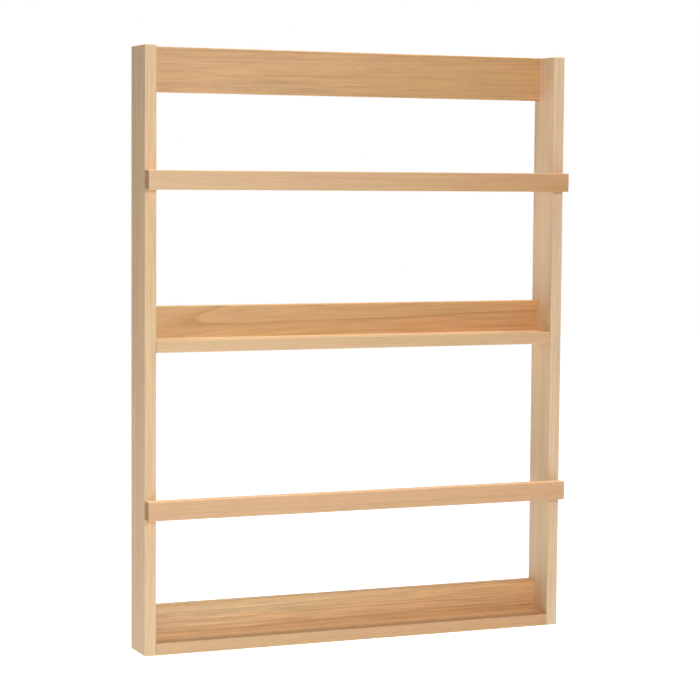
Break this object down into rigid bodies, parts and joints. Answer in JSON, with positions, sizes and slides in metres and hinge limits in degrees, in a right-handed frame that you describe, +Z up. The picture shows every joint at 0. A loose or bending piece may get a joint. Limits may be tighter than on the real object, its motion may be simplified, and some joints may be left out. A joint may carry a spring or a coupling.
{
  "type": "wall display shelf",
  "caption": "Shallow wooden wall rack: uprights, top rail, narrow shelves with low back boards, and slim front bars that hold books and magazines face out.",
  "frame": {"origin": "middle of the top rail's back face, level with the two wall screws when the rack hangs", "axes": "+Z up, +Y into the wall so the rack stands out towards -Y, +X to the right seen from the front"},
  "size_m": [0.72, 0.088, 0.94],
  "materials": {
    "oak": "pale oiled oak, satin, fine straight grain",
    "beech_dowel": "plain fluted beech",
    "hanger_steel": "zinc-plated sheet steel",
    "screw_steel": "zinc-plated steel"
  },
  "bodies": {
    "root": {"left_upright": "oak", "right_upright": "oak", "top_rail": "oak", "upper_shelf": "oak", "upper_back_board": "oak", "upper_front_bar": "oak", "lower_shelf": "oak", "lower_back_board": "oak", "lower_front_bar": "oak", "top_rail_left_dowels": "beech_dowel", "upper_shelf_left_dowels": "beech_dowel", "upper_back_board_left_dowels": "beech_dowel", "upper_front_bar_left_dowels": "beech_dowel", "lower_shelf_left_dowels": "beech_dowel", "lower_back_board_left_dowels": "beech_dowel", "lower_front_bar_left_dowels": "beech_dowel", "top_rail_right_dowels": "beech_dowel", "upper_shelf_right_dowels": "beech_dowel", "upper_back_board_right_dowels": "beech_dowel", "upper_front_bar_right_dowels": "beech_dowel", "lower_shelf_right_dowels": "beech_dowel", "lower_back_board_right_dowels": "beech_dowel", "lower_front_bar_right_dowels": "beech_dowel", "upper_shelf_to_back_board_dowels": "beech_dowel", "lower_shelf_to_back_board_dowels": "beech_dowel", "left_keyhole_hanger": "hanger_steel", "right_keyhole_hanger": "hanger_steel", "left_hanger_screws": "screw_steel", "right_hanger_screws": "screw_steel"}
  },
  "joints": []
}
